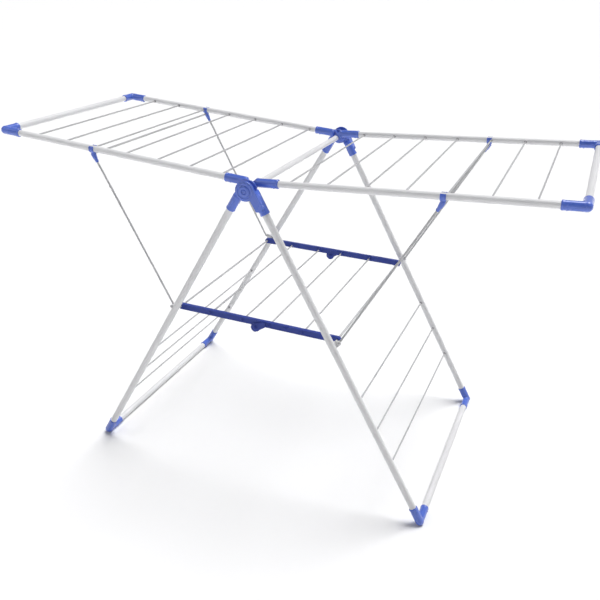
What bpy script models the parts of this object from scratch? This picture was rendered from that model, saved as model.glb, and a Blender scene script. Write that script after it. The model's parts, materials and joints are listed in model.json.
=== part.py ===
"""Folding gull-wing clothes drying rack, metres, +Z up.

World frame: origin on the floor under the hub, X along the wings, Y across the rack,
Z up. Every bar across the rack runs along Y. Two leg frames cross over at the hub, a wing
hinges on each of them, a wire strut props each wing, and a shelf that folds in the middle
spans the legs.
"""
import bpy
import bmesh
import math
from mathutils import Matrix, Vector

# ---------------------------------------------------------------- driving dimensions
HUB_Z = 0.880            # height of the hub pivot above the floor
LEG_PERP = 0.0142        # distance from the hub pivot to a leg tube's axis line
LEG_ANGLE = math.radians(29.8)   # leg tubes from the vertical
LEG_Y = 0.330            # plane of the leg tubes
LEG_R = 0.0095
WALL = 0.0007            # wall of every tube
FOOT_R = 0.0115          # foot elbow radius
FOOT_AXIS = 0.0109       # height of the bottom tube's axis; the elbows are flat below it
LEG_SOCKET_END = 0.0740  # along the leg from the hub
LEG_WIRES = (0.620, 0.720, 0.820)
FOOT_ARM_UP = 0.045
FOOT_ARM_IN = 0.058

WING_TILT = math.radians(3.7)
WING_RISE = 0.012        # wing axis above the hub pivot, square to the wing
WING_Y = 0.305
WING_R = 0.0085
WING_LEN = 0.779         # hub to the axis of the end tube
WING_SLEEVE = (0.010, 0.0740)
WING_WIRES = tuple(0.094 + 0.0975 * i for i in range(7))
CORNER_R = 0.0115
CORNER_ARM_SIDE = 0.052
CORNER_ARM_END = 0.048

CROSS_R = 0.008
CROSS_HALF = 0.2940
WIRE_R = 0.00225
ROD_R = 0.0028
GAP = 0.0003             # between pieces that touch

STRUT_FOOT_Z = 0.5005    # lower pivot of the strut
STRUT_FOOT_OUT = 0.0155  # that pivot outside the leg tube's axis line
STRUT_AT = 0.479         # distance along the wing where the strut meets it
STRUT_DROP = 0.014       # crossbar below the wing tube axis
STRUT_Y = 0.306

RAIL_Z = 0.4936
RAIL_Y = 0.288
RAIL_T = 0.010
RAIL_H = 0.017
KNUCKLE_DROP = 0.0143
KNUCKLE_R = 0.0133
SHELF_WIRES = (0.040, 0.140)

WIRE_SIDES = 12
TUBE_SIDES = 24

# ---------------------------------------------------------------- derived directions
LEG_DIR = Vector((math.sin(LEG_ANGLE), 0.0, -math.cos(LEG_ANGLE)))
LEG_NORMAL = Vector((math.cos(LEG_ANGLE), 0.0, math.sin(LEG_ANGLE)))
WING_DIR = Vector((math.cos(WING_TILT), 0.0, math.sin(WING_TILT)))
WING_NORMAL = Vector((-math.sin(WING_TILT), 0.0, math.cos(WING_TILT)))
HUB = Vector((0.0, 0.0, HUB_Z))


def mirrored(p, side):
    """A point of the right half, moved to the left half when side is -1."""
    return Vector((side * p.x, p.y, p.z))


def leg_point(along, y, side, perp=LEG_PERP):
    return mirrored(HUB + LEG_DIR * along + LEG_NORMAL * perp + Vector((0, y, 0)), side)


def wing_point(along, y, side, rise=WING_RISE):
    return mirrored(HUB + WING_DIR * along + WING_NORMAL * rise + Vector((0, y, 0)), side)


LEG_LEN = (HUB_Z + LEG_NORMAL.z * LEG_PERP - FOOT_AXIS) / -LEG_DIR.z
SHELF_PIVOT_ALONG = (HUB_Z + LEG_NORMAL.z * LEG_PERP - RAIL_Z) / -LEG_DIR.z
SHELF_PIVOT = leg_point(SHELF_PIVOT_ALONG, 0.0, -1)
KNUCKLE = Vector((0.0, 0.0, RAIL_Z - KNUCKLE_DROP))
STRUT_PERP = LEG_PERP + STRUT_FOOT_OUT
STRUT_PIVOT = leg_point((HUB_Z + LEG_NORMAL.z * STRUT_PERP - STRUT_FOOT_Z) / -LEG_DIR.z, 0.0, 1,
                        STRUT_PERP)

# ---------------------------------------------------------------- scene set-up
for old in list(bpy.data.objects):
    bpy.data.objects.remove(old, do_unlink=True)
RACK = bpy.data.collections.new("clothes_drying_rack")
bpy.context.scene.collection.children.link(RACK)


def material(name, colour, roughness, metallic=0.0):
    mat = bpy.data.materials.new(name)
    mat.use_nodes = True
    shader = mat.node_tree.nodes["Principled BSDF"]
    shader.inputs["Base Color"].default_value = (*colour, 1.0)
    shader.inputs["Roughness"].default_value = roughness
    shader.inputs["Metallic"].default_value = metallic
    return mat


FINISH = {
    "tube": ((0.82, 0.82, 0.83), 0.32, 0.0),
    "wire": ((0.80, 0.80, 0.81), 0.35, 0.0),
    "rod": ((0.46, 0.47, 0.49), 0.30, 0.7),
    "plastic": ((0.075, 0.135, 0.52), 0.38, 0.0),
}


def axis_empty(name, at):
    empty = bpy.data.objects.new(name, None)
    empty.location = at
    empty.empty_display_size = 0.03
    RACK.objects.link(empty)
    return empty


AXES = {
    "leg_left": axis_empty("axis_leg_left", (0, 0, HUB_Z)),
    "leg_right": axis_empty("axis_leg_right", (0, 0, HUB_Z)),
    "wing_left": axis_empty("axis_wing_left", (0, 0, HUB_Z)),
    "wing_right": axis_empty("axis_wing_right", (0, 0, HUB_Z)),
    "strut_left": axis_empty("axis_strut_left", mirrored(STRUT_PIVOT, -1)),
    "strut_right": axis_empty("axis_strut_right", STRUT_PIVOT),
    "shelf_left": axis_empty("axis_shelf_left", SHELF_PIVOT),
    "shelf_right": axis_empty("axis_shelf_right", KNUCKLE),
}


def finish(name, mesh, body, kind, at=None, rotation=None, sharp=40.0):
    """Makes the named object of one piece and hangs it on its body's joint axis."""
    ob = bpy.data.objects.new(name, mesh)
    RACK.objects.link(ob)
    ob.parent = AXES[body]
    ob.location = (Vector(at) if at is not None else Vector((0, 0, 0))) - AXES[body].location
    if rotation is not None:
        ob.rotation_mode = "QUATERNION"
        ob.rotation_quaternion = rotation
    mesh.materials.clear()
    mesh.materials.append(material(name, *FINISH[kind]))
    mesh.shade_smooth()
    mesh.set_sharp_from_angle(angle=math.radians(sharp))
    return ob


def along(a, b):
    return (b - a).to_track_quat("Z", "Y")


def tube(name, a, b, radius, body, kind="tube"):
    """A straight tube, its wall profile turned about the tube's axis with Screw."""
    length = (b - a).length
    outer, inner = radius, radius - WALL
    mesh = bpy.data.meshes.new(name)
    mesh.from_pydata([(outer, 0, length), (outer, 0, 0), (inner, 0, 0), (inner, 0, length)],
                     [(0, 1), (1, 2), (2, 3), (3, 0)], [])
    ob = finish(name, mesh, body, kind, a, along(a, b))
    turn = ob.modifiers.new("turn", "SCREW")
    turn.axis = "Z"
    turn.angle = 2 * math.pi
    turn.steps = turn.render_steps = TUBE_SIDES
    turn.use_merge_vertices = True
    turn.merge_threshold = 0.00005
    turn.use_smooth_shade = True
    return ob


def wire(name, a, b, radius, body, kind="wire"):
    """A straight solid wire with a slightly rounded cut at each end."""
    length = (b - a).length
    bm = bmesh.new()
    bmesh.ops.create_cone(bm, cap_ends=True, segments=WIRE_SIDES, radius1=radius,
                          radius2=radius, depth=length,
                          matrix=Matrix.Translation((0, 0, length / 2)))
    mesh = bpy.data.meshes.new(name)
    bm.to_mesh(mesh)
    bm.free()
    return finish(name, mesh, body, kind, a, along(a, b))


def bent_bar(name, points, bend, radius, body, kind, sides=5, steps=5, floor=False):
    """A round bar through the points, each corner turned at the bend radius.

    With floor set, the bar is cut flat where it would pass below the floor."""
    path = [points[0]]
    for i in range(1, len(points) - 1):
        corner = points[i]
        back = (points[i - 1] - corner).normalized()
        ahead = (points[i + 1] - corner).normalized()
        turn = math.pi - back.angle(ahead)
        reach = bend * math.tan(turn / 2)
        centre = corner + (back + ahead).normalized() * (bend / math.cos(turn / 2))
        start = corner + back * reach - centre
        axis = start.cross(corner + ahead * reach - centre).normalized()
        for k in range(steps + 1):
            path.append(centre + Matrix.Rotation(turn * k / steps, 3, axis) @ start)
    path.append(points[-1])
    curve = bpy.data.curves.new(name, "CURVE")
    curve.dimensions = "3D"
    spline = curve.splines.new("POLY")
    spline.points.add(len(path) - 1)
    for point, at in zip(spline.points, path):
        point.co = (*(at - path[0]), 1.0)
    curve.bevel_depth = radius
    curve.bevel_resolution = sides
    curve.use_fill_caps = True
    holder = bpy.data.objects.new(name + "_path", curve)
    RACK.objects.link(holder)
    mesh = bpy.data.meshes.new_from_object(holder)
    mesh.name = name
    bpy.data.objects.remove(holder, do_unlink=True)
    bm = bmesh.new()
    bm.from_mesh(mesh)
    bmesh.ops.remove_doubles(bm, verts=bm.verts, dist=1e-6)
    if floor:
        every = bm.verts[:] + bm.edges[:] + bm.faces[:]
        bmesh.ops.bisect_plane(bm, geom=every, plane_co=(0, 0, -path[0].z),
                               plane_no=(0, 0, 1), clear_inner=True, dist=1e-7)
        rim = [edge for edge in bm.edges if edge.is_boundary]
        bmesh.ops.holes_fill(bm, edges=rim, sides=0)
    bmesh.ops.recalc_face_normals(bm, faces=bm.faces)
    bm.to_mesh(mesh)
    bm.free()
    return finish(name, mesh, body, kind, path[0])


# ---------------------------------------------------------------- solids joined from shapes
def cylinder(a, b, radius, sides=28):
    bm = bmesh.new()
    length = (b - a).length
    place = Matrix.Translation(a) @ along(a, b).to_matrix().to_4x4()
    bmesh.ops.create_cone(bm, cap_ends=True, segments=sides, radius1=radius, radius2=radius,
                          depth=length, matrix=place @ Matrix.Translation((0, 0, length / 2)))
    return bm


def prism(outline, y0, y1):
    """An (x, z) outline pulled from y0 to y1."""
    bm = bmesh.new()
    low = [bm.verts.new((x, y0, z)) for x, z in outline]
    high = [bm.verts.new((x, y1, z)) for x, z in outline]
    bm.faces.new(low)
    bm.faces.new(list(reversed(high)))
    count = len(outline)
    for i in range(count):
        j = (i + 1) % count
        bm.faces.new((low[j], low[i], high[i], high[j]))
    bmesh.ops.recalc_face_normals(bm, faces=bm.faces)
    return bm


def temporary(bm, name):
    mesh = bpy.data.meshes.new(name)
    bm.to_mesh(mesh)
    bm.free()
    ob = bpy.data.objects.new(name, mesh)
    RACK.objects.link(ob)
    return ob


def joined(name, first, others, body, kind, cuts=()):
    """Unites the other shapes with the first, takes the cuts away, and keeps one solid."""
    base = temporary(first, name + "_base")
    tools = [(temporary(bm, name + "_tool"), "UNION") for bm in others]
    tools += [(temporary(bm, name + "_cut"), "DIFFERENCE") for bm in cuts]
    for tool, operation in tools:
        step = base.modifiers.new(operation, "BOOLEAN")
        step.operation = operation
        step.solver = "EXACT"
        step.object = tool
    bpy.context.view_layer.update()
    graph = bpy.context.evaluated_depsgraph_get()
    mesh = bpy.data.meshes.new_from_object(base.evaluated_get(graph))
    mesh.name = name
    for ob in [base] + [tool for tool, _ in tools]:
        bpy.data.objects.remove(ob, do_unlink=True)
    bm = bmesh.new()
    bm.from_mesh(mesh)
    bmesh.ops.remove_doubles(bm, verts=bm.verts, dist=2e-5)
    bmesh.ops.dissolve_limit(bm, angle_limit=math.radians(0.5), verts=bm.verts, edges=bm.edges)
    bmesh.ops.triangulate(bm, faces=bm.faces)
    bmesh.ops.translate(bm, verts=bm.verts, vec=-HUB)
    bm.to_mesh(mesh)
    bm.free()
    return finish(name, mesh, body, kind, HUB)


def arc(centre, radius, start, end, count):
    """Points on a circle in the XZ plane, angles in degrees from +X towards +Z."""
    angles = [math.radians(start + (end - start) * k / count) for k in range(count + 1)]
    return [(centre[0] + radius * math.cos(q), centre[1] + radius * math.sin(q)) for q in angles]


def flipped(outline, side):
    return [(side * x, z) for x, z in outline]


# ---------------------------------------------------------------- leg frames
def leg_frame(body, side, socket_r, plate_r, plate_near, plate_far, neck_start, web_near,
              web_far):
    for end, tag in ((-1, "front"), (1, "back")):
        y = end * LEG_Y
        top = leg_point(LEG_SOCKET_END + GAP, y, side)
        low = leg_point(LEG_LEN - FOOT_ARM_UP - GAP, y, side)
        tube(f"{body}_tube_{tag}", top, low, LEG_R, body)
        corner = leg_point(LEG_LEN, y, side)
        bent_bar(f"{body}_foot_{tag}",
                 [leg_point(LEG_LEN - FOOT_ARM_UP, y, side), corner,
                  corner - Vector((0, end * FOOT_ARM_IN, 0))],
                 0.022, FOOT_R, body, "plastic", floor=True)
        plate = cylinder(mirrored(HUB, 1) + Vector((0, end * plate_near, 0)),
                         mirrored(HUB, 1) + Vector((0, end * plate_far, 0)), plate_r)
        socket = cylinder(leg_point(0.024, y, side), leg_point(LEG_SOCKET_END, y, side), socket_r)
        neck = [leg_point(a, 0, side, p) for a, p in
                ((neck_start, 0.006), (neck_start, 0.0205), (0.046, 0.0215), (0.046, 0.007))]
        web = prism([(p.x, p.z) for p in neck], end * web_near, end * web_far)
        joined(f"{body}_hub_socket_{tag}", plate, [socket, web], body, "plastic")
    inner = LEG_Y - FOOT_ARM_IN - GAP
    tube(f"{body}_bottom_tube", leg_point(LEG_LEN, -inner, side), leg_point(LEG_LEN, inner, side),
         LEG_R, body)
    reach = LEG_Y - LEG_R - GAP
    for i, at in enumerate(LEG_WIRES, 1):
        wire(f"{body}_wire_{i}", leg_point(at, -reach, side), leg_point(at, reach, side),
             WIRE_R, body)


leg_frame("leg_left", -1, 0.0118, 0.0220, 0.3180, 0.3230, 0.0060, 0.3180, 0.3300)
leg_frame("leg_right", 1, 0.0125, 0.0260, 0.3430, 0.3480, 0.0235, 0.3340, 0.3480)
tube("cross_tube", HUB + Vector((0, -CROSS_HALF, 0)), HUB + Vector((0, CROSS_HALF, 0)),
     CROSS_R, "leg_left")
ROD_REACH = LEG_Y - LEG_R - GAP
wire("shelf_pivot_rod", SHELF_PIVOT - Vector((0, ROD_REACH, 0)),
     SHELF_PIVOT + Vector((0, ROD_REACH, 0)), ROD_R, "leg_left", "rod")


# ---------------------------------------------------------------- wings
def wing(body, side, ear_near, ear_far):
    for end, tag in ((-1, "front"), (1, "back")):
        y = end * WING_Y
        tube(f"{body}_side_{tag}", wing_point(WING_SLEEVE[1] + GAP, y, side),
             wing_point(WING_LEN - CORNER_ARM_SIDE - GAP, y, side), WING_R, body)
        corner = wing_point(WING_LEN, y, side)
        bent_bar(f"{body}_corner_{tag}",
                 [wing_point(WING_LEN - CORNER_ARM_SIDE, y, side), corner,
                  corner - Vector((0, end * CORNER_ARM_END, 0))],
                 0.014, CORNER_R, body, "plastic")
        sleeve = cylinder(wing_point(WING_SLEEVE[0], y, side), wing_point(WING_SLEEVE[1], y, side),
                          CORNER_R)
        tip, root = wing_point(0.040, 0, 1, 0.014), wing_point(0.0125, 0, 1, 0.022)
        outline = arc((0, HUB_Z), 0.0098, 160, 355, 15) + [(tip.x, tip.z), (root.x, root.z)]
        ear = prism(flipped(outline, side), end * ear_near, end * ear_far)
        joined(f"{body}_sleeve_{tag}", sleeve, [ear], body, "plastic")
    inner = WING_Y - CORNER_ARM_END - GAP
    tube(f"{body}_end_tube", wing_point(WING_LEN, -inner, side), wing_point(WING_LEN, inner, side),
         WING_R, body)
    reach = WING_Y - WING_R - GAP
    for i, at in enumerate(WING_WIRES, 1):
        wire(f"{body}_wire_{i}", wing_point(at, -reach, side), wing_point(at, reach, side),
             WIRE_R, body)


wing("wing_left", -1, 0.3060, 0.3160)
wing("wing_right", 1, 0.2945, 0.3050)


# ---------------------------------------------------------------- struts
def strut(body, side):
    top = wing_point(STRUT_AT, 0, side, WING_RISE - STRUT_DROP)
    foot = mirrored(STRUT_PIVOT, side)
    low = foot - (top - foot).normalized() * 0.004
    across = Vector((0, STRUT_Y, 0))
    bent_bar(f"{body}_wire", [low - across, top - across, top + across, low + across],
             0.012, ROD_R, body, "rod", sides=2, steps=4)


strut("strut_left", -1)
strut("strut_right", 1)

# ---------------------------------------------------------------- folding shelf
LOW, HIGH = RAIL_Z - RAIL_H / 2, RAIL_Z + RAIL_H / 2
RAIL_NEAR, RAIL_FAR = RAIL_Y - RAIL_T / 2, RAIL_Y + RAIL_T / 2
CATCH = (-SHELF_PIVOT.x, RAIL_Z)     # axis of the claws, on the right leg tubes' axis line
CLAW_MOUTH = 0.0048
LOBE_DROP = 0.0020                   # claw lobes below the rail
K = (KNUCKLE.x, KNUCKLE.z)


def eye_cut(at, end):
    return cylinder(Vector((at[0], end * 0.27, at[1])), Vector((at[0], end * 0.31, at[1])),
                    ROD_R + GAP, 16)


for end, tag in ((-1, "front"), (1, "back")):
    y0, y1 = end * RAIL_NEAR, end * RAIL_FAR
    pivot = (SHELF_PIVOT.x, RAIL_Z)
    bar = [(pivot[0], HIGH)]
    bar += arc(pivot, RAIL_H / 2, 90, 270, 10)[1:-1]
    bar += [(pivot[0], LOW), (-GAP / 2, LOW), (-GAP / 2, HIGH)]
    disc = prism(arc(K, KNUCKLE_R, 0, 345, 23), y0, y1)
    joined(f"shelf_left_rail_{tag}", prism(bar, y0, y1), [disc], "shelf_left", "plastic",
           [eye_cut(pivot, end)])

    clear = KNUCKLE_R + GAP
    start = math.degrees(math.asin((LOW - K[1]) / clear))
    bar = [(CATCH[0] - 0.018, LOW)]
    bar += arc(K, clear, start, 90 - math.degrees(math.asin(GAP / 2 / clear)), 8)
    bar += [(GAP / 2, HIGH), (CATCH[0], HIGH)]
    bar += arc(CATCH, RAIL_H / 2 + 0.0005, 80, -35, 10)
    bar += [(CATCH[0] + 0.0060, LOW - LOBE_DROP), (CATCH[0] - 0.0090, LOW - LOBE_DROP)]
    ear = arc(K, KNUCKLE_R, 100, 270, 14) + [(0.030, LOW + 0.001), (0.030, HIGH - 0.002)]
    lap0, lap1 = end * (RAIL_FAR + GAP), end * (RAIL_FAR + 0.003)
    bridge = [(0.018, LOW + 0.001), (0.030, LOW + 0.001), (0.030, HIGH - 0.002),
              (0.018, HIGH - 0.002)]
    mouth = [(CATCH[0] - CLAW_MOUTH / 2, CATCH[1]), (CATCH[0] - CLAW_MOUTH / 2, LOW - 0.01),
             (CATCH[0] + CLAW_MOUTH / 2, LOW - 0.01), (CATCH[0] + CLAW_MOUTH / 2, CATCH[1])]
    joined(f"shelf_right_rail_{tag}", prism(bar, y0, y1),
           [prism(ear, lap0, lap1), prism(bridge, end * (RAIL_FAR - 0.004), lap1)],
           "shelf_right", "plastic",
           [eye_cut(CATCH, end), prism(mouth, end * 0.27, end * 0.31)])

REACH = RAIL_NEAR - GAP
for body, side in (("shelf_left", -1), ("shelf_right", 1)):
    for i, x in enumerate(SHELF_WIRES, 1):
        wire(f"{body}_wire_{i}", Vector((side * x, -REACH, RAIL_Z)),
             Vector((side * x, REACH, RAIL_Z)), WIRE_R, body)
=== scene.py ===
import bpy
import bmesh
import json
import math
from mathutils import Matrix, Vector


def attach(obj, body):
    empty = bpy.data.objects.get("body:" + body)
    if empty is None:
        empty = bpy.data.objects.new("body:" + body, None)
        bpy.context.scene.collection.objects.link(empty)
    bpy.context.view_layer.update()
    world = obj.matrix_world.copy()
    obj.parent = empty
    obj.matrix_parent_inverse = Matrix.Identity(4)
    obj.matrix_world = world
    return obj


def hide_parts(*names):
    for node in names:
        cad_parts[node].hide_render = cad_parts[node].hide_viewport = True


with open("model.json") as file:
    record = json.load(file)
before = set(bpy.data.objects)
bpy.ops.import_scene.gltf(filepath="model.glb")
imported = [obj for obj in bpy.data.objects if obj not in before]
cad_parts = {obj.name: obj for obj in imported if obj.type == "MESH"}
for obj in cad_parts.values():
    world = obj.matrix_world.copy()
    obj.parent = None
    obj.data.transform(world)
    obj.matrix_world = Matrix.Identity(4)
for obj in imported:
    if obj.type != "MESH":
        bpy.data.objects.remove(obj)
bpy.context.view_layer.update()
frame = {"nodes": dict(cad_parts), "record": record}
NODES = frame["nodes"]

# ---------------------------------------------------------------- the rack's own numbers, in metres
HUB = Vector((0, 0, 0.880))
ENDS = ((-1, "front"), (1, "back"))
SIDES = ((-1, "left"), (1, "right"))

LEG_PERP, LEG_ANGLE, LEG_Y, LEG_R = 0.0142, math.radians(29.8), 0.330, 0.0095
LEG_WIRES = [0.620, 0.720, 0.820]
SOCKET_START, SOCKET_END, SOCKET_R = 0.0235, 0.0740, {-1: 0.0118, 1: 0.0125}
FOOT_AXIS, FOOT_UP, FOOT_IN, FOOT_ARM_R, FOOT_BALL_R = 0.0109, 0.045, 0.058, 0.0117, 0.0119

WING_TILT, WING_RISE, WING_Y, WING_R, WING_LEN = math.radians(3.7), 0.012, 0.305, 0.0085, 0.779
WING_WIRES = [0.094 + 0.0975 * i for i in range(7)]
SLEEVE_START, SLEEVE_END, SLEEVE_R = 0.0100, 0.0740, 0.0113
CORNER_SIDE, CORNER_END, CORNER_BALL_R, ELBOW_R = 0.052, 0.048, 0.0115, 0.0112

ROD_R = 0.0028
STRUT_AT, STRUT_DROP, STRUT_Y, STRUT_OUT, STRUT_Z = 0.479, 0.014, 0.306, 0.0155, 0.5005
RAIL_Z, RAIL_Y, RAIL_T = 0.4936, 0.288, 0.010
KNUCKLE = Vector((0, 0, RAIL_Z - 0.0143))
SHELF_WIRES = (0.040, 0.140)

LEG_DIR = Vector((math.sin(LEG_ANGLE), 0, -math.cos(LEG_ANGLE)))
LEG_OUT = Vector((math.cos(LEG_ANGLE), 0, math.sin(LEG_ANGLE)))
WING_DIR = Vector((math.cos(WING_TILT), 0, math.sin(WING_TILT)))
WING_UP = Vector((-math.sin(WING_TILT), 0, math.cos(WING_TILT)))


def flip(v, side):
    """The point or direction on the right (1), or its mirror image on the left (-1)."""
    return Vector((side * v.x, v.y, v.z))


def leg_point(along, y, side, perp=LEG_PERP):
    """A point so far down the leg from the hub, and so far square to it, outwards and up."""
    return flip(HUB + LEG_DIR * along + LEG_OUT * perp + Vector((0, y, 0)), side)


def wing_point(along, y, side, rise=WING_RISE):
    """A point so far along the wing from the hub, and so far above the hub's axis."""
    return flip(HUB + WING_DIR * along + WING_UP * rise + Vector((0, y, 0)), side)


LEG_LEN = (HUB.z + LEG_OUT.z * LEG_PERP - FOOT_AXIS) / -LEG_DIR.z
SHELF_AXIS = (HUB.z + LEG_OUT.z * LEG_PERP - RAIL_Z) / -LEG_DIR.z
STRUT_PERP = LEG_PERP + STRUT_OUT
STRUT_ALONG = (HUB.z + LEG_OUT.z * STRUT_PERP - STRUT_Z) / -LEG_DIR.z


# ---------------------------------------------------------------- materials
BROAD_SCALE, SKIN_SCALE = 14.0, 260.0
# Pointiness range over which edges turn pale: partly wear, partly painted highlight.
WORN_AND_HIGHLIT_EDGES = (0.53, 0.62)
BUMP_STRENGTH, COAT_ROUGHNESS, BRUSH_STRETCH = 0.5, 0.15, (1.0, 0.03, 1.0)


def node_material(name, base, rough, metallic=0.0, grain=900.0, grain_depth=0.00004,
                  peel=0.0, vary=0.06, wear_and_highlight=None, wear_and_highlight_amount=0.0, coat=0.0, brushed=False,
                  specular=0.5):
    """Colour and roughness drift over broad noise, and fine grain makes the bump and the pale
    edges, which are partly wear and partly painted highlight.
    """
    mat = bpy.data.materials.new(name)
    mat.use_nodes = True
    tree = mat.node_tree
    link = tree.links.new
    shader = tree.nodes["Principled BSDF"]

    def new(kind, **values):
        node = tree.nodes.new(kind)
        for socket, value in values.items():
            node.inputs[socket.replace("_", " ")].default_value = value
        return node

    shader.inputs["Metallic"].default_value = metallic
    shader.inputs["Specular IOR Level"].default_value = specular
    shader.inputs["Coat Weight"].default_value = coat
    shader.inputs["Coat Roughness"].default_value = COAT_ROUGHNESS
    place = new("ShaderNodeTexCoord").outputs["Object"]

    broad = new("ShaderNodeTexNoise", Scale=BROAD_SCALE, Detail=4.0)
    link(place, broad.inputs["Vector"])
    fine = new("ShaderNodeTexNoise", Scale=grain, Detail=3.0)
    if brushed:
        stretch = new("ShaderNodeMapping", Scale=BRUSH_STRETCH)
        link(place, stretch.inputs["Vector"])
        link(stretch.outputs["Vector"], fine.inputs["Vector"])
    else:
        link(place, fine.inputs["Vector"])

    tone = new("ShaderNodeValToRGB")
    dark, light = tone.color_ramp.elements
    dark.position, light.position = 0.30, 0.72
    dark.color = (*[c * (1 - vary) for c in base], 1)
    light.color = (*[min(1.0, c * (1 + vary)) for c in base], 1)
    link(broad.outputs["Fac"], tone.inputs["Fac"])
    colour = tone.outputs["Color"]
    # Convex edges, broken up by the grain, take the pale colour. This is partly wear and partly
    # painted highlight where rounded edges catch the light.
    if wear_and_highlight is not None:
        shape = new("ShaderNodeNewGeometry")
        edge = new("ShaderNodeMapRange", From_Min=WORN_AND_HIGHLIT_EDGES[0], From_Max=WORN_AND_HIGHLIT_EDGES[1],
                   To_Max=wear_and_highlight_amount)
        link(shape.outputs["Pointiness"], edge.inputs["Value"])
        wear_and_highlight_mask = new("ShaderNodeMath")
        wear_and_highlight_mask.operation = "MULTIPLY"
        link(edge.outputs["Result"], wear_and_highlight_mask.inputs[0])
        link(fine.outputs["Fac"], wear_and_highlight_mask.inputs[1])
        mix = new("ShaderNodeMix")
        mix.data_type = "RGBA"
        mix.inputs["B"].default_value = (*wear_and_highlight, 1)
        link(wear_and_highlight_mask.outputs["Value"], mix.inputs["Factor"])
        link(colour, mix.inputs["A"])
        colour = mix.outputs["Result"]
    link(colour, shader.inputs["Base Color"])

    gloss = new("ShaderNodeMapRange", From_Min=0.3, From_Max=0.7,
                To_Min=max(0.05, rough - 0.06), To_Max=rough + 0.08)
    link(broad.outputs["Fac"], gloss.inputs["Value"])
    link(gloss.outputs["Result"], shader.inputs["Roughness"])

    bump = new("ShaderNodeBump", Strength=BUMP_STRENGTH, Distance=grain_depth)
    link(fine.outputs["Fac"], bump.inputs["Height"])
    if peel:
        skin = new("ShaderNodeTexNoise", Scale=SKIN_SCALE, Detail=1.0)
        link(place, skin.inputs["Vector"])
        wave = new("ShaderNodeBump", Strength=BUMP_STRENGTH, Distance=peel)
        link(skin.outputs["Fac"], wave.inputs["Height"])
        link(wave.outputs["Normal"], bump.inputs["Normal"])
    link(bump.outputs["Normal"], shader.inputs["Normal"])
    return mat


PAINT = node_material("white_powder_coat", (0.72, 0.72, 0.73), 0.34, grain=1500,
                      grain_depth=0.00002, peel=0.00012, vary=0.03)
# The wires' white coating, painted mid grey. This is painted shade for the darker look of the thin
# wires.
WIRE_GREYED_FOR_SHADE = node_material("white_wire_greyed_for_shade", (0.44, 0.44, 0.45), 0.36, grain=1800,
                       grain_depth=0.00002, peel=0.00005, vary=0.04)
ROD = node_material("grey_coated_rod", (0.46, 0.46, 0.47), 0.34, metallic=0.1, grain=1600,
                    grain_depth=0.00002, vary=0.08, brushed=True)
BLUE = node_material("blue_moulded_plastic", (0.082, 0.155, 0.60), 0.24, grain=2200, coat=0.5,
                     grain_depth=0.00005, peel=0.00004, vary=0.07, wear_and_highlight=(0.20, 0.30, 0.76),
                     wear_and_highlight_amount=0.9)
# The same blue plastic, painted darker and with weaker specular, for the rails, their wire bosses
# and the knuckle rivets. This is painted shade for the rails' front faces.
RAIL_BLUE_PAINTED_SHADE = node_material("blue_rail_painted_shade", (0.018, 0.036, 0.25), 0.30, grain=2200,
                          specular=0.25, grain_depth=0.00005, peel=0.00004, vary=0.07,
                          wear_and_highlight=(0.20, 0.30, 0.76), wear_and_highlight_amount=0.15)
BOLT = node_material("zinc_rivet", (0.50, 0.51, 0.53), 0.30, metallic=0.9, grain=2400,
                     grain_depth=0.00003, vary=0.08)
# Dark grey for the collars round the wires' ends: painted shadow of the holes where the wires go
# into the tubes.
PAINTED_HOLE_SHADOW = node_material("painted_hole_shadow_collar", (0.22, 0.22, 0.23), 0.45, grain=2000,
                     grain_depth=0.00006, vary=0.12)

LOOKS = {"white_tube": PAINT, "white_wire": WIRE_GREYED_FOR_SHADE, "steel_rod": ROD, "blue_plastic": BLUE}
for part in frame["record"]["subparts"]:
    ob = NODES[part["node"]]
    for place in ob.material_slots:
        place.material = LOOKS[part["material_slot"]]


# ---------------------------------------------------------------- mesh tools
def shown(name, data):
    ob = bpy.data.objects.new(name, data)
    bpy.context.scene.collection.objects.link(ob)
    return ob


def as_mesh(name, bm):
    mesh = bpy.data.meshes.new(name)
    bm.to_mesh(mesh)
    bm.free()
    return mesh


def evaluated(ob):
    """The object's mesh with its modifiers worked in."""
    bpy.context.view_layer.update()
    graph = bpy.context.evaluated_depsgraph_get()
    return bpy.data.meshes.new_from_object(ob.evaluated_get(graph))


def gathered(shapes):
    """All the shapes in one bmesh."""
    bm = bmesh.new()
    for shape in shapes:
        mesh = as_mesh("shape", shape)
        bm.from_mesh(mesh)
        bpy.data.meshes.remove(mesh)
    return bm


def along(a, b):
    """The turn that takes +Z to the direction from a to b."""
    return (b - a).to_track_quat("Z", "Y").to_matrix().to_4x4()


def lathe(bm, a, b, profile, sides=32):
    """Turns (distance from a, radius) pairs about the line from a to b, closed at both ends."""
    place = Matrix.Translation(a) @ along(a, b)
    rings = []
    for t, r in profile:
        if r <= 1e-7:
            rings.append([bm.verts.new(place @ Vector((0, 0, t)))])
        else:
            rings.append([bm.verts.new(place @ Vector((r * math.cos(q), r * math.sin(q), t)))
                          for q in [2 * math.pi * k / sides for k in range(sides)]])
    for one, two in zip(rings, rings[1:]):
        for k in range(sides):
            j = (k + 1) % sides
            if len(one) == 1:
                bm.faces.new((one[0], two[j], two[k]))
            elif len(two) == 1:
                bm.faces.new((one[k], one[j], two[0]))
            else:
                bm.faces.new((one[k], one[j], two[j], two[k]))
    if len(rings[0]) > 1:
        bm.faces.new(list(reversed(rings[0])))
    if len(rings[-1]) > 1:
        bm.faces.new(rings[-1])


def rod(a, b, radius, sides=32):
    bm = bmesh.new()
    lathe(bm, a, b, [(0, radius), ((b - a).length, radius)], sides)
    return bm


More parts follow.
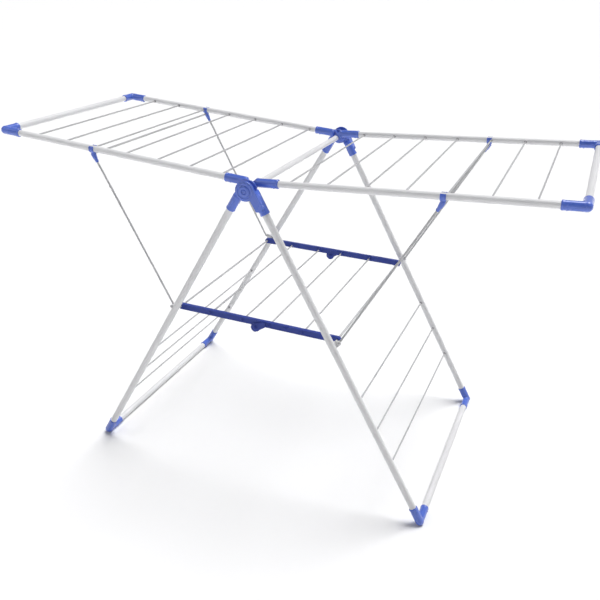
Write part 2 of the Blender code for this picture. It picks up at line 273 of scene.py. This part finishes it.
def prism(outline, y0, y1):
    """The (x, z) outline carried from y0 to y1."""
    bm = bmesh.new()
    low = [bm.verts.new((x, y0, z)) for x, z in outline]
    high = [bm.verts.new((x, y1, z)) for x, z in outline]
    bm.faces.new(low)
    bm.faces.new(list(reversed(high)))
    for i in range(len(outline)):
        j = (i + 1) % len(outline)
        bm.faces.new((low[j], low[i], high[i], high[j]))
    bmesh.ops.recalc_face_normals(bm, faces=bm.faces)
    return bm


def arc(cx, cz, radius, first, last, count):
    angles = [math.radians(first + (last - first) * k / count) for k in range(count + 1)]
    return [(cx + radius * math.cos(q), cz + radius * math.sin(q)) for q in angles]


DOME_OUT, DOME_IN = 0.45, 0.62     # how far a bar's dome stands out, and its end's radius


def sweep(bm, path, radius, sides=16):
    """A round bar with domed ends along the path."""
    tangents = []
    dome_out, dome_r = radius * DOME_OUT, radius * DOME_IN
    for i in range(len(path)):
        ahead = path[min(i + 1, len(path) - 1)] - path[max(i - 1, 0)]
        tangents.append(ahead.normalized())
    side = tangents[0].orthogonal().normalized()
    rings = []
    points = [path[0] - tangents[0] * dome_out, *path, path[-1] + tangents[-1] * dome_out]
    tangents = [tangents[0]] + tangents + [tangents[-1]]
    for i, (point, tangent) in enumerate(zip(points, tangents)):
        side = (side - tangent * side.dot(tangent)).normalized()
        other = tangent.cross(side)
        r = dome_r if i in (0, len(points) - 1) else radius
        rings.append([bm.verts.new(point + (side * math.cos(q) + other * math.sin(q)) * r)
                      for q in [2 * math.pi * k / sides for k in range(sides)]])
    for one, two in zip(rings, rings[1:]):
        for k in range(sides):
            j = (k + 1) % sides
            bm.faces.new((one[k], one[j], two[j], two[k]))
    bm.faces.new(list(reversed(rings[0])))
    bm.faces.new(rings[-1])


def rounded(points, bend, steps=12):
    """The path through the points with its corners turned at the bend radius."""
    path = [points[0]]
    for i in range(1, len(points) - 1):
        corner = points[i]
        back = (points[i - 1] - corner).normalized()
        ahead = (points[i + 1] - corner).normalized()
        turn = math.pi - back.angle(ahead)
        reach = bend * math.tan(turn / 2)
        centre = corner + (back + ahead).normalized() * (bend / math.cos(turn / 2))
        first = corner + back * reach - centre
        axis = first.cross(corner + ahead * reach - centre).normalized()
        path += [centre + Matrix.Rotation(turn * k / steps, 3, axis) @ first
                 for k in range(steps + 1)]
    return path + [points[-1]]


def piece(name, mesh, mat, body, stands_for=(), sharp=50.0):
    """A visible piece that rides on the body, in place of the nodes that it stands for."""
    if isinstance(mesh, bmesh.types.BMesh):
        bm = mesh
        bmesh.ops.recalc_face_normals(bm, faces=bm.faces)
        mesh = as_mesh(name, bm)
    mesh.shade_smooth()
    mesh.set_sharp_from_angle(angle=math.radians(sharp))
    mesh.materials.clear()
    mesh.materials.append(mat)
    ob = shown(name, mesh)
    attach(ob, body)
    if stands_for:
        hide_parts(*stands_for)


FLOOR_GAP = 0.0001


def moulded(name, shapes, cuts, body, stands_for=(), voxel=0.0011, smooth=5, floor=False):
    """One plastic moulding: the shapes joined, the cuts taken away, every edge softened."""
    obs = []
    for bm in shapes + cuts:
        bmesh.ops.recalc_face_normals(bm, faces=bm.faces)
        obs.append(shown("shape", as_mesh("shape", bm)))
    base = obs[0]
    for i, tool in enumerate(obs[1:], 1):
        step = base.modifiers.new("join", "BOOLEAN")
        step.operation = "UNION" if i < len(shapes) else "DIFFERENCE"
        step.solver = "EXACT"
        step.object = tool
    skin = base.modifiers.new("skin", "REMESH")
    skin.mode = "VOXEL"
    skin.voxel_size = voxel
    soft = base.modifiers.new("soft", "SMOOTH")
    soft.factor = 0.5
    soft.iterations = smooth
    mesh = evaluated(base)
    mesh.name = name
    for ob in obs:
        bpy.data.objects.remove(ob, do_unlink=True)
    if floor:  # the underside is cut flat just above the floor and closed again
        bm = bmesh.new()
        bm.from_mesh(mesh)
        bmesh.ops.bisect_plane(bm, geom=bm.verts[:] + bm.edges[:] + bm.faces[:],
                               plane_co=(0, 0, FLOOR_GAP), plane_no=(0, 0, 1), clear_inner=True)
        bmesh.ops.holes_fill(bm, edges=[e for e in bm.edges if e.is_boundary], sides=0)
        bm.to_mesh(mesh)
        bm.free()
    piece(name, mesh, BLUE, body, stands_for)


def collared(a, b, radius, bead=0.0006, bead_len=0.0045, domed=False):
    """A socket from a to its mouth at b, with a thicker rounded lip round the mouth."""
    length = (b - a).length
    start = [(0, radius)]
    if domed:
        start = [(radius * (1 - math.cos(q)) * 0.6, radius * math.sin(q))
                 for q in [math.radians(d) for d in (25, 40, 55, 70, 90)]]
    lip = radius + bead
    bm = bmesh.new()
    lathe(bm, a, b, start + [(length - bead_len - 0.0008, radius), (length - bead_len, lip),
                             (length - 0.0018, lip), (length - 0.0007, lip - 0.0005),
                             (length, lip - 0.0016)], 40)
    return bm


def ball(at, radius):
    bm = bmesh.new()
    bmesh.ops.create_uvsphere(bm, u_segments=32, v_segments=20, radius=radius,
                              matrix=Matrix.Translation(at))
    return bm


# ---------------------------------------------------------------- hub
# The arms' outlines are (along the leg, square to it), measured from the hub's axis.
LEFT_ARM = ((0.000, 0.0000), (0.000, 0.0216), (0.024, 0.0250), (0.052, 0.0248),
            (0.057, 0.0142), (0.052, 0.0036), (0.024, 0.0030))
LEFT_SHOULDER = ((0.012, 0.0070), (0.014, 0.0195), (0.024, 0.0245), (0.050, 0.0242),
                 (0.055, 0.0142), (0.050, 0.0042), (0.024, 0.0040))
RIGHT_ARM = ((0.000, 0.0000), (0.000, 0.0257), (0.024, 0.0263), (0.058, 0.0260),
             (0.064, 0.0142), (0.058, 0.0024), (0.028, 0.0014))
RIGHT_SHOULDER = ((0.010, 0.0060), (0.010, 0.0256), (0.0245, 0.0262), (0.054, 0.0255),
                  (0.060, 0.0142), (0.054, 0.0030), (0.0245, 0.0022))
# Side, leg frame, plate radius, then the two faces and the outline of the arm and of its shoulder.
HUB_SIDES = (
    (-1, "leg_left", 0.0220, (0.3180, 0.3235), LEFT_ARM, (0.3185, 0.3330), LEFT_SHOULDER),
    (1, "leg_right", 0.0260, (0.3428, 0.3480), RIGHT_ARM, (0.3245, 0.3460), RIGHT_SHOULDER))
CAP_AT = 0.3474
CAP_RINGS = [(0, 0.0222), (0.0012, 0.0222), (0.0020, 0.0214), (0.0021, 0.0194), (0.0008, 0.0186),
             (0.0008, 0.0150), (0.0022, 0.0141), (0.0031, 0.0124), (0.0035, 0.0098),
             (0.0035, 0.0076), (0.0018, 0.0069), (0.0018, 0.0048), (0.0030, 0.0041),
             (0.0033, 0.0024), (0.0034, 0.0)]
BOLT_FROM = 0.2925
BOLT_PROFILE = [(0, 0.0040), (0.0500, 0.0040), (0.0505, 0.0036)]


def leg_prism(side, outline, y0, y1):
    """A flat plate with an (along, square) outline on the leg's own side of the hub."""
    return prism([(p.x, p.z) for p in [leg_point(a, 0, side, q) for a, q in outline]], y0, y1)


def hub_moulding(side, leg, radius, plate, arm, shoulder_faces, shoulder, end, tag):
    """The round plate on the hub's axis, with the arm that runs down into the leg's socket."""
    y = end * LEG_Y
    near, far = [end * y for y in plate]
    disc = rod(HUB + Vector((0, near, 0)), HUB + Vector((0, far, 0)), radius, 72)
    socket = collared(leg_point(SOCKET_START, y, side), leg_point(SOCKET_END, y, side),
                      SOCKET_R[side], domed=True)
    moulded(f"{leg}_hub_moulding_{tag}",
            [disc, socket, leg_prism(side, arm, near, far),
             leg_prism(side, shoulder, *[end * y for y in shoulder_faces])], [],
            leg, [f"{leg}_hub_socket_{tag}"], voxel=0.0010, smooth=5)


def hub_cap_and_bolt(end, tag):
    outward = Vector((0, end, 0))
    cap, bolt = bmesh.new(), bmesh.new()
    lathe(cap, HUB + outward * CAP_AT, HUB + outward * (CAP_AT + 1), CAP_RINGS, 64)
    piece(f"hub_cap_{tag}", cap, BLUE, "leg_right")
    lathe(bolt, HUB + outward * BOLT_FROM, HUB + outward, BOLT_PROFILE, 24)
    piece(f"hub_bolt_{tag}", bolt, BOLT, "leg_right")


for end, tag in ENDS:
    for hub_side in HUB_SIDES:
        hub_moulding(*hub_side, end, tag)
    hub_cap_and_bolt(end, tag)


# ---------------------------------------------------------------- wing sleeves and corners
EAR_R, EAR_SWEEP = 0.0098, (160, 355)
EAR_TIP, EAR_ROOT = wing_point(0.040, 0, 1, 0.014), wing_point(0.0125, 0, 1, 0.022)


def hub_sleeve(side, body, end, tag, near, far):
    """The sleeve on the wing's tube, with the ear that turns on the hub's shaft."""
    y = end * WING_Y
    sleeve = collared(wing_point(SLEEVE_START, y, side), wing_point(SLEEVE_END, y, side),
                      SLEEVE_R, domed=True)
    ear = arc(0, HUB.z, EAR_R, *EAR_SWEEP, 20) + [(EAR_TIP.x, EAR_TIP.z), (EAR_ROOT.x, EAR_ROOT.z)]
    ear = prism([(side * x, z) for x, z in ear], end * near, end * far)
    moulded(f"{body}_hub_sleeve_{tag}", [sleeve, ear], [], body, [f"{body}_sleeve_{tag}"],
            voxel=0.0010, smooth=4)


def wing_corner(side, body, end, tag):
    y = end * WING_Y
    corner = wing_point(WING_LEN, y, side)
    inward = collared(corner, wing_point(WING_LEN - CORNER_SIDE, y, side), ELBOW_R)
    across = collared(corner, corner - Vector((0, end * CORNER_END, 0)), ELBOW_R)
    moulded(f"{body}_corner_moulding_{tag}", [inward, across, ball(corner, CORNER_BALL_R)], [],
            body, [f"{body}_corner_{tag}"], voxel=0.0010, smooth=4)


for side, body, near, far in ((-1, "wing_left", 0.3060, 0.3160), (1, "wing_right", 0.2945, 0.3050)):
    for end, tag in ENDS:
        hub_sleeve(side, body, end, tag, near, far)
        wing_corner(side, body, end, tag)


# ---------------------------------------------------------------- feet
def foot(side, body, end, tag):
    y = end * LEG_Y
    corner = leg_point(LEG_LEN, y, side)
    up = collared(corner, leg_point(LEG_LEN - FOOT_UP, y, side), FOOT_ARM_R)
    across = collared(corner, corner - Vector((0, end * FOOT_IN, 0)), ELBOW_R)
    moulded(f"{body}_foot_moulding_{tag}", [up, across, ball(corner, FOOT_BALL_R)], [], body,
            [f"{body}_foot_{tag}"], voxel=0.0011, smooth=4, floor=True)


for side, half in SIDES:
    for end, tag in ENDS:
        foot(side, f"leg_{half}", end, tag)


# ---------------------------------------------------------------- struts and their clips
STRUT_BEND, STRUT_END_Y = 0.006, 0.3190
CLIP_R, CLIP_HALF, CLIP_PLAY = 0.0116, 0.0070, 0.0004
GRIP_PROFILE = [(0, 0.0042), (0.0015, 0.0062), (0.0155, 0.0060), (0.0190, 0.0047),
                (0.0265, 0.0045), (0.0280, 0.0038)]
GRIP_START, NECK_UP, NECK_DOWN, NECK_R = 0.003, 0.0095, 0.010, 0.0062
MOUTH_UP, MOUTH_SIZE = 0.0105, (0.0150, 0.0150, 0.04, 1)


def strut_bar(body, top, low):
    """One bent bar: up from the lugs, across under the wing, and down again."""
    across, stub = Vector((0, STRUT_Y, 0)), Vector((0, STRUT_END_Y, 0))
    bm = bmesh.new()
    sweep(bm, rounded([low - stub, low - across, top - across, top + across, low + across,
                       low + stub], STRUT_BEND, 8), ROD_R)
    piece(f"{body}_bar", bm, ROD, body, [f"{body}_wire"])


def strut_clip(side, body, end, tag, top, down):
    """A hook, open upwards, that holds the wing's tube, with a grip round the strut's bar."""
    tube_at = wing_point(STRUT_AT, end * WING_Y, side)
    wrap, lift = flip(WING_DIR, side), flip(WING_UP, side)
    ring = rod(tube_at - wrap * CLIP_HALF, tube_at + wrap * CLIP_HALF, CLIP_R, 40)
    bore = rod(tube_at - wrap * 0.02, tube_at + wrap * 0.02, WING_R + CLIP_PLAY, 40)
    grip_at = top + Vector((0, STRUT_Y, 0)) * end
    grip = bmesh.new()
    lathe(grip, grip_at - down * GRIP_START, grip_at + down, GRIP_PROFILE, 32)
    neck = rod(tube_at - lift * NECK_UP, grip_at + down * NECK_DOWN, NECK_R, 24)
    place = Matrix.Translation(tube_at + lift * MOUTH_UP) @ along(Vector(), wrap)
    mouth = bmesh.new()
    bmesh.ops.create_cube(mouth, size=1.0, matrix=place @ Matrix.Diagonal(MOUTH_SIZE))
    moulded(f"{body}_clip_{tag}", [ring, grip, neck], [bore, mouth], body, voxel=0.0009, smooth=3)


for side, half in SIDES:
    top = wing_point(STRUT_AT, 0, side, WING_RISE - STRUT_DROP)
    low = leg_point(STRUT_ALONG, 0, side, STRUT_PERP)
    strut_bar(f"strut_{half}", top, low)
    for end, tag in ENDS:
        strut_clip(side, f"strut_{half}", end, tag, top, (low - top).normalized())


# ---------------------------------------------------------------- strut lugs, shelf catch rod
# Outlines are (along the leg, square to it) from the point on the leg's axis at the strut's foot.
LUG_PLATE = ((-0.0085, 0.0), (-0.0085, 0.0105), (-0.0045, 0.0195), (0.0, 0.0215),
             (0.0045, 0.0195), (0.0085, 0.0105), (0.0085, 0.0))
LUG_TAB = ((-0.0080, -0.002), (-0.0080, 0.0080), (0.0080, 0.0080), (0.0080, -0.002))
LUG_PLATE_Y, LUG_TAB_Y, CATCH_END_Y = (0.3145, 0.3175), (0.3170, 0.3225), 0.3200

for side, half in SIDES:
    lugs = []
    for end in (-1, 1):
        for outline, faces in ((LUG_PLATE, LUG_PLATE_Y), (LUG_TAB, LUG_TAB_Y)):
            points = [(STRUT_ALONG + a, LEG_PERP + p) for a, p in outline]
            lugs.append(leg_prism(side, points, *[end * y for y in faces]))
    piece(f"leg_{half}_strut_lugs", gathered(lugs), PAINT, f"leg_{half}", sharp=30)
bm = bmesh.new()
catch, reach = leg_point(SHELF_AXIS, 0, 1), Vector((0, CATCH_END_Y, 0))
sweep(bm, [catch - reach, catch + reach], ROD_R)
piece("shelf_catch_rod", bm, ROD, "leg_right")


# ---------------------------------------------------------------- shelf details
OUTER_BOSS = [(0, 0.0052), (0.0010, 0.0052), (0.0016, 0.0046), (0.0016, 0.0024),
              (0.0008, 0.0020), (0.0008, 0.0)]
INNER_BOSS = [(0, 0.0056), (0.0030, 0.0050), (0.0060, 0.0036), (0.0066, 0.0022)]
RIVET_HEAD = [(0, 0.0062), (0.0008, 0.0062), (0.0020, 0.0050), (0.0026, 0.0028), (0.0027, 0.0)]
RIVET_TAIL = [(0, 0.0062), (0.0010, 0.0062), (0.0022, 0.0046), (0.0026, 0.0)]
RAIL_OUTER, RAIL_INNER, SUNK, RIVET_OUT = RAIL_Y + RAIL_T / 2, RAIL_Y - RAIL_T / 2, 0.0002, 0.0028


def rail_moulding(half, tag):
    """The rail again with its long edges softened."""
    copy = shown("rail", NODES[f"shelf_{half}_rail_{tag}"].data.copy())
    soft = copy.modifiers.new("soft_edges", "BEVEL")
    soft.width = 0.0010
    soft.segments = 3
    soft.limit_method = "ANGLE"
    soft.angle_limit = math.radians(40)
    mesh = evaluated(copy)
    bpy.data.objects.remove(copy, do_unlink=True)
    # The rail takes the darker blue, which is painted shade for its front face.
    piece(f"shelf_{half}_rail_moulding_{tag}", mesh, RAIL_BLUE_PAINTED_SHADE, f"shelf_{half}",
          [f"shelf_{half}_rail_{tag}"], sharp=40)


def wire_bosses(side, half):
    """Rings on both faces of the rails where the shelf's wires go in."""
    bm = bmesh.new()
    for end in (-1, 1):
        outward = Vector((0, end, 0))
        for x in SHELF_WIRES:
            outer = Vector((side * x, end * (RAIL_OUTER - SUNK), RAIL_Z))
            lathe(bm, outer, outer + outward, OUTER_BOSS, 28)
            inner = Vector((side * x, end * (RAIL_INNER + SUNK), RAIL_Z))
            lathe(bm, inner, inner - outward, INNER_BOSS, 28)
    piece(f"shelf_{half}_wire_bosses", bm, RAIL_BLUE_PAINTED_SHADE, f"shelf_{half}")


def knuckle_rivet(end, tag):
    outward = Vector((0, end, 0))
    head = KNUCKLE + outward * (RAIL_OUTER + RIVET_OUT)
    tail = KNUCKLE + outward * (RAIL_INNER + SUNK)
    bm = bmesh.new()
    lathe(bm, head, head + outward, RIVET_HEAD, 32)
    lathe(bm, tail, tail - outward, RIVET_TAIL, 32)
    piece(f"knuckle_rivet_{tag}", bm, RAIL_BLUE_PAINTED_SHADE, "shelf_right")


for end, tag in ENDS:
    for side, half in SIDES:
        rail_moulding(half, tag)
for side, half in SIDES:
    wire_bosses(side, half)
for end, tag in ENDS:
    knuckle_rivet(end, tag)


# ---------------------------------------------------------------- pins that hold the tubes
PIN_HEAD = [(0, 0.0026), (0.0012, 0.0026), (0.0017, 0.0022), (0.0018, 0.0013), (0.0014, 0.0010),
            (0.0014, 0.0)]
PIN_SUNK, PIN_BACK = 0.0009, 0.012
LEG_PIN_AT, WING_PIN_AT = 0.0660, 0.0600


def pin(bm, at, outward, radius):
    """A small round pin head standing on a socket of the given radius."""
    start = at + outward * (radius - PIN_SUNK)
    lathe(bm, start, start + outward, PIN_HEAD, 24)


for side, half in SIDES:
    leg_pins, wing_pins = bmesh.new(), bmesh.new()
    outside, under = flip(Vector((1, 0, 0)), side), -flip(WING_UP, side)
    for end in (-1, 1):
        outward, leg_y, wing_y = Vector((0, end, 0)), end * LEG_Y, end * WING_Y
        pin(leg_pins, leg_point(LEG_PIN_AT, leg_y, side), outward, SOCKET_R[side])
        pin(leg_pins, leg_point(LEG_LEN - FOOT_UP + PIN_BACK, leg_y, side), outward, FOOT_ARM_R)
        pin(leg_pins, leg_point(LEG_LEN, end * (LEG_Y - FOOT_IN + PIN_BACK), side), outside,
            ELBOW_R)
        pin(wing_pins, wing_point(WING_PIN_AT, wing_y, side), under, SLEEVE_R)
        pin(wing_pins, wing_point(WING_LEN - CORNER_SIDE + PIN_BACK, wing_y, side), under, ELBOW_R)
        pin(wing_pins, wing_point(WING_LEN, end * (WING_Y - CORNER_END + PIN_BACK), side), under,
            ELBOW_R)
    piece(f"leg_{half}_tube_pins", leg_pins, BLUE, f"leg_{half}")
    piece(f"wing_{half}_tube_pins", wing_pins, BLUE, f"wing_{half}")


# ---------------------------------------------------------------- dark collars on the wires, painted shadow of the holes they go into
PAINTED_HOLE_SHADOW_BEAD = [(0, 0.0), (0.0002, 0.0038), (0.0018, 0.0041), (0.0036, 0.0036), (0.0056, 0.0023),
             (0.0058, 0.0)]
PAINTED_HOLE_SHADOW_SUNK = 0.0012


def painted_hole_shadow_collars(name, places, body):
    """A dark bead round each wire where it leaves its tube, painted shadow of the hole it goes
    into: places are (point, end) pairs.
    """
    bm = bmesh.new()
    for at, end in places:
        inward = Vector((0, -end, 0))
        lathe(bm, at - inward * PAINTED_HOLE_SHADOW_SUNK, at + inward, PAINTED_HOLE_SHADOW_BEAD, 20)
    piece(name, bm, PAINTED_HOLE_SHADOW, body)


for side, half in SIDES:
    painted_hole_shadow_collars(f"wing_{half}_painted_hole_shadow_collars",
                 [(wing_point(at, end * (WING_Y - WING_R), side), end)
                  for end in (-1, 1) for at in WING_WIRES], f"wing_{half}")
    painted_hole_shadow_collars(f"leg_{half}_painted_hole_shadow_collars",
                 [(leg_point(at, end * (LEG_Y - LEG_R), side), end)
                  for end in (-1, 1) for at in LEG_WIRES + [SHELF_AXIS]], f"leg_{half}")


# ---------------------------------------------------------------- floor, light and camera
FLOOR_HALF = 40.0
# The studio's walls: pale at floor level, and darker with height (the sine of the elevation).
WALL_TONES = ((0.0, (1.0, 1.0, 1.0)), (0.75, (0.10, 0.10, 0.11)), (0.05, (0.66, 0.66, 0.67)),
              (0.36, (0.30, 0.30, 0.31)))
CAMERA_AT, CAMERA_LENS, SENSOR = (0.7700, -1.8370, 1.3970), 42.533, 36.0
YAW, PITCH, ROLL = math.radians(22.500), math.radians(-25.796), math.radians(1.180)


def studio_floor():
    bm = bmesh.new()
    bmesh.ops.create_grid(bm, x_segments=1, y_segments=1, size=FLOOR_HALF)
    floor = shown("floor", as_mesh("floor", bm))
    pale = bpy.data.materials.new("pale_floor")
    pale.use_nodes = True
    shader = pale.node_tree.nodes["Principled BSDF"]
    shader.inputs["Base Color"].default_value = (0.90, 0.90, 0.90, 1)
    shader.inputs["Roughness"].default_value = 0.9
    shader.inputs["Specular IOR Level"].default_value = 0.1
    floor.data.materials.append(pale)


def studio_walls():
    world = bpy.data.worlds.new("studio")
    bpy.context.scene.world = world
    world.use_nodes = True
    tree = world.node_tree
    heading = tree.nodes.new("ShaderNodeTexCoord")
    split = tree.nodes.new("ShaderNodeSeparateXYZ")
    fade = tree.nodes.new("ShaderNodeValToRGB")
    tree.links.new(heading.outputs["Generated"], split.inputs["Vector"])
    tree.links.new(split.outputs["Z"], fade.inputs["Fac"])
    tree.links.new(fade.outputs["Color"], tree.nodes["Background"].inputs["Color"])
    stops = fade.color_ramp.elements
    for k, (height, tone) in enumerate(WALL_TONES):
        stop = stops[k] if k < 2 else stops.new(height)
        stop.position = height
        stop.color = (*tone, 1)
    tree.nodes["Background"].inputs["Strength"].default_value = 1.0
    bpy.context.scene.view_settings.view_transform = "Standard"


def aimed(ob, direction):
    ob.rotation_euler = Vector(direction).to_track_quat("-Z", "Y").to_euler()


def softbox(name, at, aim, size, watts):
    light = bpy.data.lights.new(name, "AREA")
    light.shape = "RECTANGLE"
    light.size, light.size_y = size
    light.energy = watts
    ob = shown(name, light)
    ob.location = at
    aimed(ob, Vector(aim) - Vector(at))


def overhead_light(strength, angle, direction):
    sun = bpy.data.lights.new("overhead", "SUN")
    sun.energy = strength
    sun.angle = angle
    aimed(shown("overhead", sun), direction)


def camera():
    view = bpy.data.cameras.new("camera")
    view.sensor_width = SENSOR
    view.lens = CAMERA_LENS
    ob = shown("camera", view)
    ahead = Vector((-math.sin(YAW) * math.cos(PITCH), math.cos(YAW) * math.cos(PITCH),
                    math.sin(PITCH)))
    right = Vector((math.cos(YAW), math.sin(YAW), 0))
    up = right.cross(ahead)
    across = right * math.cos(ROLL) + up * math.sin(ROLL)
    upward = up * math.cos(ROLL) - right * math.sin(ROLL)
    turn = Matrix((across, upward, -ahead)).transposed().to_4x4()
    ob.matrix_world = Matrix.Translation(CAMERA_AT) @ turn
    bpy.context.scene.camera = ob


studio_floor()
studio_walls()
softbox("key", (-1.8, -1.6, 3.0), (0, 0, 0.6), (1.6, 1.6), 12)
overhead_light(3.3, math.radians(36), (-0.20, -0.42, -1.0))
camera()
